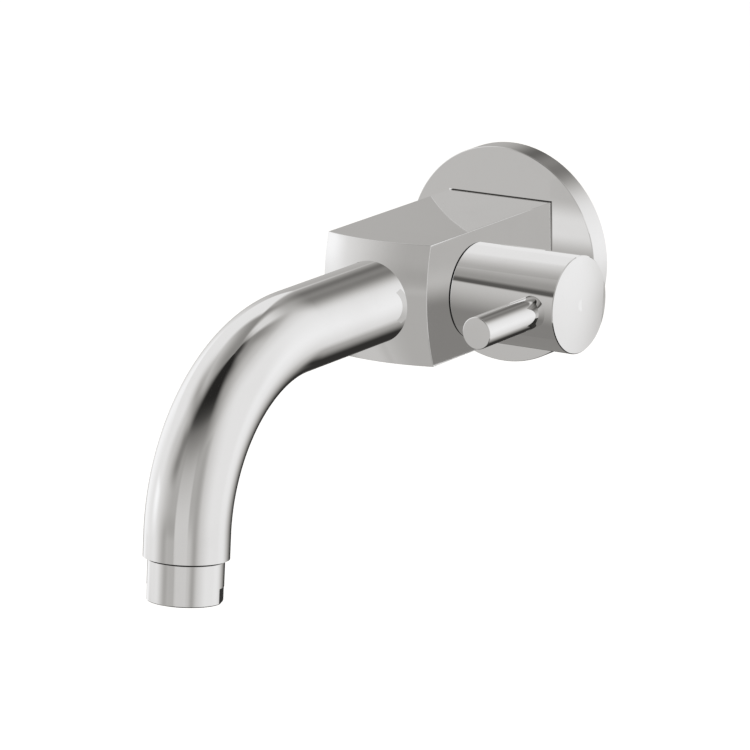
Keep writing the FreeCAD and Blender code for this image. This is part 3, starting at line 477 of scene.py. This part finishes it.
def growSpout(bm, radius, stopShort=0.0):
    # sweeps one wall of the tube; a bore stops short of the end and goes on with the thread's width
    angle = spout["bendAngle"]
    centre = Vector((0, -spout["bendStart"], -spout["bendRadius"]))
    flow = Vector((0, -math.cos(angle), -math.sin(angle)))
    start = bmesh.ops.create_circle(bm, radius=radius, segments=spout["points"])["verts"]
    bmesh.ops.rotate(bm, verts=start, cent=(0, 0, 0), matrix=Matrix.Rotation(quarter, 3, "X"))
    bmesh.ops.translate(bm, verts=start, vec=(0, -spout["start"], 0))
    first = edgesOf(start)

    def pushOut(edges, vec):
        verts, last = grow(bm, edges)
        bmesh.ops.translate(bm, verts=verts, vec=vec)
        return last

    def bend(edges, turn, steps):
        swept = bmesh.ops.spin(bm, geom=edges + vertsOf(edges), cent=centre, axis=(1, 0, 0), dvec=(0, 0, 0),
                               angle=turn, steps=steps, use_merge=False, use_duplicate=False)
        return [item for item in swept["geom_last"] if isinstance(item, bmesh.types.BMEdge)]

    edges = pushOut(first, (0, spout["start"] - spout["bendStart"], 0))
    if not stopShort:
        edges = bend(edges, angle, spout["bendSteps"])
        return first, pushOut(edges, flow * spout["tail"])
    rest = (stopShort - spout["tail"]) / spout["bendRadius"]
    edges = bend(edges, angle - rest, spout["bendSteps"] - spout["threadSteps"])
    ring = vertsOf(edges)
    middle = sum((vert.co for vert in ring), Vector()) / len(ring)
    wider = spout["threadBore"] / radius
    edges = pushOut(edges, (0, 0, 0))
    bmesh.ops.scale(bm, verts=vertsOf(edges), vec=(wider, wider, wider), space=Matrix.Translation(-middle))
    edges = bend(edges, rest, spout["threadSteps"])
    return first, pushOut(edges, flow * spout["tail"])


def makeSpout():
    bm = bmesh.new()
    outerStart, outerEnd = growSpout(bm, spout["outer"])
    innerStart, innerEnd = growSpout(bm, spout["bore"], spout["threadDepth"])
    bmesh.ops.bridge_loops(bm, edges=outerStart + innerStart)
    bmesh.ops.bridge_loops(bm, edges=outerEnd + innerEnd)
    roundEdges(bm, spout["endRound"], spout["roundSteps"], lambda co: (
        co.y < -spout["roundOut"] and co.z < -spout["roundBelow"]))
    newPiece("spoutTube", bm, "spout_tube", "tap", "chrome")


makeSpout()


# Pin lever: its root is coped to the round handle, with the stud that screws in

lever = {
    "radius": 5.2 * mm, "side": 51.6 * mm, "reach": 100.6 * mm, "barrel": 15.9 * mm,
    "endRound": 0.35 * mm, "roundSteps": 4, "endMiddle": 1 * mm, "endLength": 6 * mm,
    "studRadius": 2.5 * mm, "studStart": 61.4 * mm, "points": 96,
}


def makeLever():
    def place(radius, angle, out):
        across, height = radius * math.cos(angle), radius * math.sin(angle)
        if out is None:
            out = valveOut + math.sqrt(lever["barrel"] ** 2 - height ** 2)
        return Vector((lever["side"] + across, -out, height))

    bm = bmesh.new()
    shoulder = lever["reach"] - lever["endLength"]
    loops = stackRings(bm, [
        ("round", lever["endMiddle"], lever["reach"]), ("round", lever["radius"], lever["reach"]),
        ("round", lever["radius"], shoulder), ("round", lever["radius"], None),
        ("round", lever["studRadius"], None), ("round", lever["studRadius"], lever["studStart"])],
        lever["points"], place)
    bmesh.ops.holes_fill(bm, edges=loops[0] + loops[-1])
    roundEdges(bm, lever["endRound"], lever["roundSteps"], lambda co: co.y < -shoulder - weld)
    newPiece("leverPin", bm, "lever_pin", "handle", "chrome")


makeLever()


# Inlet nipple: G1/2 pipe thread, collar and hexagon key bore

nipple = {
    "crest": 10.4775 * mm, "root": 9.3155 * mm, "pitch": 1.814 * mm, "tip": -20 * mm, "end": 16.5 * mm,
    "collarStart": 3 * mm, "collarEnd": 5.5 * mm, "collar": 13.3 * mm, "keyFlats": 12 * mm,
    "edge": 0.3 * mm, "rootEdge": 0.4 * mm, "neck": 1.4 * mm, "shoulder": 0.6 * mm,
    "tipChamfer": 1.2 * mm, "endChamfer": 0.8 * mm, "endThread": 11 * mm, "endRelief": 1.2 * mm,
    "ridgeFoot": 0.15 * mm, "core": 2 * mm, "envelopeCore": 3 * mm, "keyLength": 60 * mm,
    "points": 96, "threadSteps": 48,
    # the thread's outline: a level, and how far along in shares of the pitch
    "ridge": (("foot", 0.06), ("root", 0.12), ("crest", 0.44),
              ("crest", 0.56), ("root", 0.88), ("foot", 0.94)),
}


def turnBody(bm, profile, count):
    # spins a closed outline of (radius, out) points round the bar's axis
    verts = [bm.verts.new((radius, -out, 0)) for radius, out in profile]
    edges = [bm.edges.new((verts[i - 1], verts[i])) for i in range(len(verts))]
    bmesh.ops.spin(bm, geom=verts + edges, cent=(0, 0, 0), axis=(0, 1, 0), dvec=(0, 0, 0), angle=fullTurn,
                   steps=count, use_merge=True, use_duplicate=False)


def combine(base, cutter, operation):
    change = base.modifiers.new(operation, "BOOLEAN")
    change.operation, change.solver, change.object = operation, "EXACT", cutter
    result = bpy.data.meshes.new_from_object(base.evaluated_get(bpy.context.evaluated_depsgraph_get()))
    base.modifiers.clear()
    base.data = result
    bpy.data.objects.remove(cutter)


def makeCore():
    root, tip, edge = nipple["root"], nipple["tip"], nipple["edge"]
    collar, collarStart, collarEnd = nipple["collar"], nipple["collarStart"], nipple["collarEnd"]
    core = bmesh.new()
    turnBody(core, [
        (nipple["core"], tip), (root - nipple["rootEdge"], tip), (root, tip + nipple["rootEdge"]),
        (root, collarStart - nipple["neck"]), (nipple["crest"] - nipple["shoulder"], collarStart),
        (collar - edge, collarStart), (collar, collarStart + edge),
        (collar, collarEnd - edge), (collar - edge, collarEnd), (root, collarEnd),
        (root, nipple["end"]), (nipple["core"], nipple["end"])], nipple["points"])
    return linkSolid("inletNipple", core)


def makeRidge(start, length):
    # one thread: its ridge runs past both ends and is cut back by a chamfered envelope
    radii = {"foot": nipple["root"] - nipple["ridgeFoot"], "root": nipple["root"], "crest": nipple["crest"]}
    pitch, steps = nipple["pitch"], nipple["threadSteps"]
    ridge = bmesh.new()
    verts = [ridge.verts.new((radii[level], -(start + share * pitch), 0)) for level, share in nipple["ridge"]]
    ridge.faces.new(verts)
    turns = int(length / pitch)
    bmesh.ops.spin(ridge, geom=list(ridge.faces) + list(ridge.edges) + verts, cent=(0, 0, 0), axis=(0, -1, 0),
                   dvec=(0, -pitch / steps, 0), angle=fullTurn * turns, steps=steps * turns,
                   use_merge=False, use_duplicate=False)
    body = linkSolid("ridge", ridge)
    crest, tip, end = nipple["crest"], nipple["tip"], nipple["end"]
    envelope = bmesh.new()
    turnBody(envelope, [
        (nipple["envelopeCore"], tip), (crest - nipple["tipChamfer"], tip),
        (crest, tip + nipple["tipChamfer"]), (crest, end - nipple["endChamfer"]),
        (crest - nipple["endChamfer"], end), (nipple["envelopeCore"], end)], nipple["points"])
    combine(body, linkSolid("envelope", envelope), "INTERSECT")
    return body


def makeKey():
    corner = nipple["keyFlats"] / math.sqrt(3)
    key = bmesh.new()
    bmesh.ops.create_cone(key, cap_ends=True, segments=6, radius1=corner, radius2=corner,
                          depth=nipple["keyLength"])
    bmesh.ops.rotate(key, verts=key.verts, cent=(0, 0, 0), matrix=Matrix.Rotation(quarter, 3, "X"))
    return linkSolid("key", key)


def makeNipple():
    body = makeCore()
    combine(body, makeRidge(nipple["tip"] - nipple["pitch"], nipple["pitch"] - nipple["tip"]), "UNION")
    combine(body, makeRidge(nipple["collarEnd"] + nipple["endRelief"], nipple["endThread"]), "UNION")
    combine(body, makeKey(), "DIFFERENCE")
    finished = bmesh.new()
    finished.from_mesh(body.data)
    bpy.data.objects.remove(body)
    newPiece("inletNipple", finished, "inlet_nipple", "tap", "brassOut")


makeNipple()


# The photograph's chrome mirrors the studio, and of the tap only its flange

for item in bpy.context.scene.objects:
    item.visible_glossy = item.name == "wallFlange"


# Camera: the photograph's own, with a long lens and a slight roll

camera = {
    "azimuth": math.radians(35.047),        # round from the front
    "elevation": math.radians(14.768),
    "roll": math.radians(-1.2996),
    "distance": 1699.34 * mm, "across": -19.614 * mm, "above": -11.874 * mm,
    "aim": Vector((0, -48 * mm, -20 * mm)),
    "lens": 249.385, "sensor": 36, "nearest": 0.1, "farthest": 40,
}


def setCamera():
    azimuth, elevation = camera["azimuth"], camera["elevation"]
    back = Vector((math.sin(azimuth) * math.cos(elevation), -math.cos(azimuth) * math.cos(elevation),
                   math.sin(elevation)))
    level = Vector((math.cos(azimuth), math.sin(azimuth), 0))
    right = Matrix.Rotation(camera["roll"], 3, back) @ level
    up = back.cross(right)
    data = bpy.data.cameras.new("photoCamera")
    data.lens, data.sensor_width = camera["lens"], camera["sensor"]
    data.clip_start, data.clip_end = camera["nearest"], camera["farthest"]
    viewer = bpy.data.objects.new("photoCamera", data)
    place = camera["aim"] + right * camera["across"] + up * camera["above"] + back * camera["distance"]
    viewer.matrix_world = Matrix((
        (right.x, up.x, back.x, place.x), (right.y, up.y, back.y, place.y),
        (right.z, up.z, back.z, place.z), (0, 0, 0, 1)))
    bpy.context.scene.collection.objects.link(viewer)
    bpy.context.scene.camera = viewer


setCamera()


# Studio: what the chrome mirrors is soft panels, placed by direction from the tap

studio = {
    "level": 0.441,                 # where no panel is
    "diffuse": 0.75,                # what surfaces that aren't mirrors get
    "warm": (1.038, 1, 0.945, 1),   # tint of the dimmest light
    "cool": (1, 1, 1.008, 1),       # tint of the brightest
    "keys": ("Centre", "Half Width", "Side Softness",
             "From", "To", "Softness Below", "Softness Above", "Level"),
    "panels": {
        # Degrees and a level, as in keys. Azimuth 0 is behind the wall and 90 on the handle's side.
        # Each panel is painted over the ones above it.
        "floorGlow": (0, 180, 5, -90, -15, 5, 5, 0.03),
        "frontFloor": (-170, 30, 20, -60, -5, 5, 15, 0.25),
        "ceiling": (0, 180, 5, 55, 90, 10, 5, 0.27),
        "topDark": (80, 65, 15, 85, 90, 10, 5, 0.05),
        "frontTopFlag": (155, 30, 45, 65, 90, 45, 5, 0.02),
        "frontLight": (160, 35, 15, -25, -20, 5, 30, 0.7),
        "rightBox": (60, 20, 60, -30, 27, 5, 45, 0.85),
        "rightBoxCore": (40, 5, 15, 0, -5, 25, 45, 0.95),
        "frontRightDip": (125, 0, 15, -20, 30, 10, 5, 0.4),
        "leftBox": (-100, 15, 55, -10, 40, 5, 45, 0.85),
        "leftBoxCore": (-70, 0, 35, -25, 30, 5, 20, 1.0),
        "leftTopGlow": (-75, 40, 5, 22, 50, 5, 10, 0.85),
        "leftTopShade": (-155, 0, 20, 30, 40, 15, 10, 0.1),
        "backFlagEdge": (0, 0, 30, 20, 35, 10, 20, 0.2),
        "backFlag": (-20, 0, 15, 5, 5, 10, 60, 0.0),
        "topGlow": (0, 10, 20, 65, 70, 20, 15, 0.75),
        "frontPanel": (160, 15, 5, -25, 0, 5, 40, 0.65),
        "rearLow": (60, 35, 30, -45, -35, 5, 10, 0.45),
        "leftHigh": (-135, 15, 50, 70, 50, 35, 15, 0.0),
        "frontLow": (-167, 18, 5, -45, -9, 8, 5, 0.45),
        "rightHigh": (90, 25, 25, 75, 40, 40, 40, 0.8),
        "leftStreak": (-140, 5, 25, 40, 15, 35, 60, 0.55),
        "lowLeft": (-70, 30, 15, -60, -25, 10, 10, 0.25),
        "bodyLow": (-130, 5, 30, -45, -13, 5, 5, 0.6),
        "leftFace": (-115, 0, 15, 5, 7, 15, 5, 1.05),
        "floorDark": (0, 180, 1, -90, -74, 1, 8, 0.04),
    },
}


def makeSoftPanel():
    group, given, result = newGroup(
        "softPanel", ("Azimuth", "Elevation", "Behind") + studio["keys"], ("Level",))
    aside = calculate(group, "ABSOLUTE", calculate(
        group, "WRAP", calculate(group, "SUBTRACT", given["Azimuth"], given["Centre"]), 180.0, -180.0))
    outside = calculate(group, "ADD", given["Half Width"], given["Side Softness"])
    lowest = calculate(group, "SUBTRACT", given["From"], given["Softness Below"])
    highest = calculate(group, "ADD", given["To"], given["Softness Above"])
    sides = remap(group, aside, given["Half Width"], outside, 1.0, 0.0, "SMOOTHSTEP")
    below = remap(group, given["Elevation"], lowest, given["From"], 0.0, 1.0, "SMOOTHSTEP")
    above = remap(group, given["Elevation"], given["To"], highest, 1.0, 0.0, "SMOOTHSTEP")
    mask = calculate(group, "MULTIPLY", sides, calculate(group, "MULTIPLY", below, above))
    change = calculate(group, "SUBTRACT", given["Level"], given["Behind"])
    level = calculate(group, "MULTIPLY_ADD", mask, change, given["Behind"])
    group.links.new(level, result["Level"])
    return group


def tintByLevel(tree, level):
    # dim parts of the studio are a little warm, bright ones neutral
    return addNode(tree, "ShaderNodeMix", {
        0: level, 6: studio["warm"], 7: studio["cool"]}, data_type="RGBA").outputs[2]


def makeWorld():
    world = bpy.data.worlds.new("studio")
    world.use_nodes = True
    tree = world.node_tree
    ray = tree.nodes.new("ShaderNodeLightPath").outputs
    direction = tree.nodes.new("ShaderNodeTexCoord").outputs["Generated"]
    parts = addNode(tree, "ShaderNodeSeparateXYZ", {"Vector": direction}).outputs
    azimuth = calculate(tree, "DEGREES", calculate(tree, "ARCTAN2", parts[0], parts[1]))
    elevation = calculate(tree, "DEGREES", calculate(tree, "ARCSINE", parts[2]))
    softPanel = makeSoftPanel()
    level = studio["level"]
    for panel in studio["panels"].values():
        sockets = dict(zip(studio["keys"], panel))
        sockets.update({"Azimuth": azimuth, "Elevation": elevation, "Behind": level})
        level = placeGroup(tree, softPanel, sockets)["Level"]
    mirrored = calculate(tree, "MULTIPLY", level, ray["Is Glossy Ray"])
    notGlossy = calculate(tree, "SUBTRACT", 1.0, ray["Is Glossy Ray"])
    light = calculate(tree, "MULTIPLY_ADD", notGlossy, studio["diffuse"], mirrored)
    seen = calculate(tree, "MAXIMUM", ray["Is Camera Ray"], ray["Is Transmission Ray"])
    background = tree.nodes["Background"].inputs
    tree.links.new(tintByLevel(tree, calculate(tree, "MAXIMUM", level, seen)), background["Color"])
    tree.links.new(calculate(tree, "MAXIMUM", light, seen), background["Strength"])
    bpy.context.scene.world = world


makeWorld()


# Floor: pale from above, and clear from below, so that the tap's underside can be looked at

floor = {"size": 30, "cuts": 4, "height": -0.45, "colour": (0.9, 0.9, 0.9, 1), "roughness": 0.9, "lift": 0.35}


def makeFloor():
    bm = bmesh.new()
    bmesh.ops.create_grid(bm, x_segments=floor["cuts"], y_segments=floor["cuts"], size=floor["size"] / 2)
    bmesh.ops.translate(bm, verts=bm.verts, vec=(0, 0, floor["height"]))
    ground = linkMesh("floor", bm)
    material, tree, shader = newMaterial(
        "paleFloor", 0, Roughness=floor["roughness"], Base_Color=floor["colour"],
        Emission_Color=(1, 1, 1, 1))[:3]
    ray = tree.nodes.new("ShaderNodeLightPath").outputs
    tree.links.new(calculate(tree, "MULTIPLY", ray["Is Camera Ray"], floor["lift"]),
                   shader.inputs["Emission Strength"])
    behind = tree.nodes.new("ShaderNodeNewGeometry").outputs["Backfacing"]
    clear = tree.nodes.new("ShaderNodeBsdfTransparent").outputs[0]
    face = addNode(tree, "ShaderNodeMixShader", {0: behind, 1: shader.outputs[0], 2: clear})
    tree.links.new(face.outputs[0], tree.nodes["Material Output"].inputs["Surface"])
    ground.data.materials.append(material)
    ground.visible_glossy = False


makeFloor()


# Painted reflections and painted shade: small one-sided cards, hidden from the camera, that stand in for what
# one part of the tap shows of another, and darken the gaps round the bar


def curvedPlates(side, width, axisOut, radius, reachAngle, steps):
    plates = []
    for step in range(steps):
        first, last = (math.radians(reachAngle * (2 * turn / steps - 1)) for turn in (step, step + 1))
        inward, rise = math.cos(first) - math.cos(last), math.sin(last) - math.sin(first)
        corner = (side, -axisOut - radius * math.cos(first), radius * math.sin(first))
        plates.append((corner, (width, 0, 0), (0, radius * inward, radius * rise)))
    return plates


cards = {
    # Plates are a corner and two edges in millimetres, whose cross product is the front.
    # A card glows by stops of place and level along a direction, as a painted reflection or painted shade, or
    # with no stops is itself a mirror that stands in for a reflection.
    # It is seen from no farther than its reach.
    # painted reflection of the bar's side in the flange's face, lighter in a band part way up
    "barInFlange": {
        "plates": [((19, -36, -19), (0, 27, 0), (0, 0, 46))],
        "along": (0, -0.28, 1), "reach": 60,
        "stops": [(4.3, 0.44), (12.3, 0.785), (16.3, 0.785), (24.3, 0.515)]},
    # painted reflection of the flange in the bar's side face, darker towards the bottom
    "wallInSide": {
        "plates": [((20.2, -8.6, -20.5), (51, 0, -22.7), (0, 0, 41.2))],
        "along": (0.241, 0, 1), "reach": 92.5,
        "stops": [(-5.4, 0.232), (4, 0.53), (10.6, 0.487)]},
    # painted reflection: an even light sheet just above the handle, seen in its upper side
    "barOverBarrel": {
        "plates": [((-15, -52, 18), (0, 42, 0), (77, 0, 0))],
        "along": (0, 0, 1), "reach": 42, "stops": [(0, 0.88)]},
    # painted reflection on the handle's front: darker low, lighter higher, with a painted dark streak
    "paintedBarrelBands": {
        "plates": [((-10, -72, -40), (0, 0, 64), (71, 0, 0))],
        "along": (0.047, 0, 1), "reach": 40,
        "stops": [(-5.1, 0.235), (9.2, 0.575), (10.5, 0.1), (11.5, 0.1), (14.5, 0.33), (25, 0.44)]},
    # painted reflection of the body's front in the spout's root, lighter higher up
    "bodyInSpout": {
        "plates": [((13.3, -82.6, -7), (2.4, 0, 0), (0, 0, 14))],
        "along": (0, 0, 1), "reach": 10, "stops": [(-5, 0.53), (2, 0.7)]},
    # painted shade: a near-black sheet in the gaps above and below the bar in the flange's window
    "windowGapShade": {
        "plates": [((-20.17, -7.8, 20.17), (0, 1.6, 0), (40.34, 0, 0)),
                   ((-20.17, -7.8, -20.17), (40.34, 0, 0), (0, 1.6, 0))],
        "along": (0, 0, 1), "reach": 8, "stops": [(0, 0.03)]},
    # painted shade in the window's side gaps, darker towards the top
    "windowSideShade": {
        "plates": [((20.17, -7.8, -20.17), (0, 0, 40.34), (0, 1.6, 0)),
                   ((-20.17, -7.8, -20.17), (0, 1.6, 0), (0, 0, 40.34))],
        "along": (0, 0, 1), "reach": 8, "stops": [(6, 0.4), (18, 0.15)]},
    # a hidden mirror strip that stands in for the handle's barrel as reflected in the lever pin: a painted
    # reflection
    "barrelInLever": {
        "plates": curvedPlates(side=49, width=11.4, axisOut=53.5, radius=15.85, reachAngle=60, steps=40),
        "reach": 26, "stops": [], "roughness": 0.03},
}


def makeCardFront(tree, card):
    if not card["stops"]:
        return addNode(tree, "ShaderNodeBsdfAnisotropic", {
            "Color": polished["chrome"]["clean"], "Roughness": card["roughness"]}).outputs[0]
    # the card's glow, set by place, is painted reflection or painted shade, not a lamp
    place = tree.nodes.new("ShaderNodeTexCoord").outputs["Object"]
    travel = addNode(tree, "ShaderNodeVectorMath", {
        0: place, 1: card["along"]}, operation="DOT_PRODUCT").outputs["Value"]
    glow = card["stops"][0][1]
    for (start, low), (end, high) in zip(card["stops"], card["stops"][1:]):
        step = remap(tree, travel, start * mm, end * mm, 0.0, high - low, "SMOOTHSTEP")
        glow = calculate(tree, "ADD", glow, step)
    light = addNode(tree, "ShaderNodeEmission", {"Color": tintByLevel(tree, glow), "Strength": glow})
    return light.outputs[0]


def makeCardMaterial(name, card):
    material = bpy.data.materials.new(name)
    material.use_nodes = True
    tree = material.node_tree
    tree.nodes.clear()
    front = makeCardFront(tree, card)
    clear = tree.nodes.new("ShaderNodeBsdfTransparent").outputs[0]
    travelled = tree.nodes.new("ShaderNodeLightPath").outputs["Ray Length"]
    far = calculate(tree, "GREATER_THAN", travelled, card["reach"] * mm)
    hidden = calculate(tree, "MAXIMUM", far, tree.nodes.new("ShaderNodeNewGeometry").outputs["Backfacing"])
    face = addNode(tree, "ShaderNodeMixShader", {0: hidden, 1: front, 2: clear})
    output = tree.nodes.new("ShaderNodeOutputMaterial")
    tree.links.new(face.outputs[0], output.inputs["Surface"])
    return material


def makeCard(name, card):
    bm = bmesh.new()
    for plate in card["plates"]:
        corner, across, up = (Vector(part) * mm for part in plate)
        places = (corner, corner + across, corner + across + up, corner + up)
        bm.faces.new([bm.verts.new(place) for place in places])
    bmesh.ops.remove_doubles(bm, verts=bm.verts, dist=weld)
    for face in bm.faces:
        face.smooth = True
    item = linkMesh(name, bm)
    item.data.materials.append(makeCardMaterial(name, card))
    item.visible_camera = item.visible_diffuse = item.visible_shadow = item.visible_transmission = False


for name, card in cards.items():
    makeCard(name, card)
print("cards made:", len(cards))


# Lamp

lamp = {"place": Vector((-0.7, -0.9, 1.1)), "aim": Vector((0, -0.05, 0)), "size": 0.9, "power": 9}


def makeLamp():
    data = bpy.data.lights.new("softLamp", "AREA")
    data.shape, data.size, data.energy = "SQUARE", lamp["size"], lamp["power"]
    item = bpy.data.objects.new("softLamp", data)
    item.location = lamp["place"]
    item.rotation_euler = (lamp["place"] - lamp["aim"]).to_track_quat("Z", "Y").to_euler()
    item.visible_glossy = item.visible_camera = False
    bpy.context.scene.collection.objects.link(item)


makeLamp()
bpy.context.scene.view_settings.view_transform = "Standard"
print("studio made")
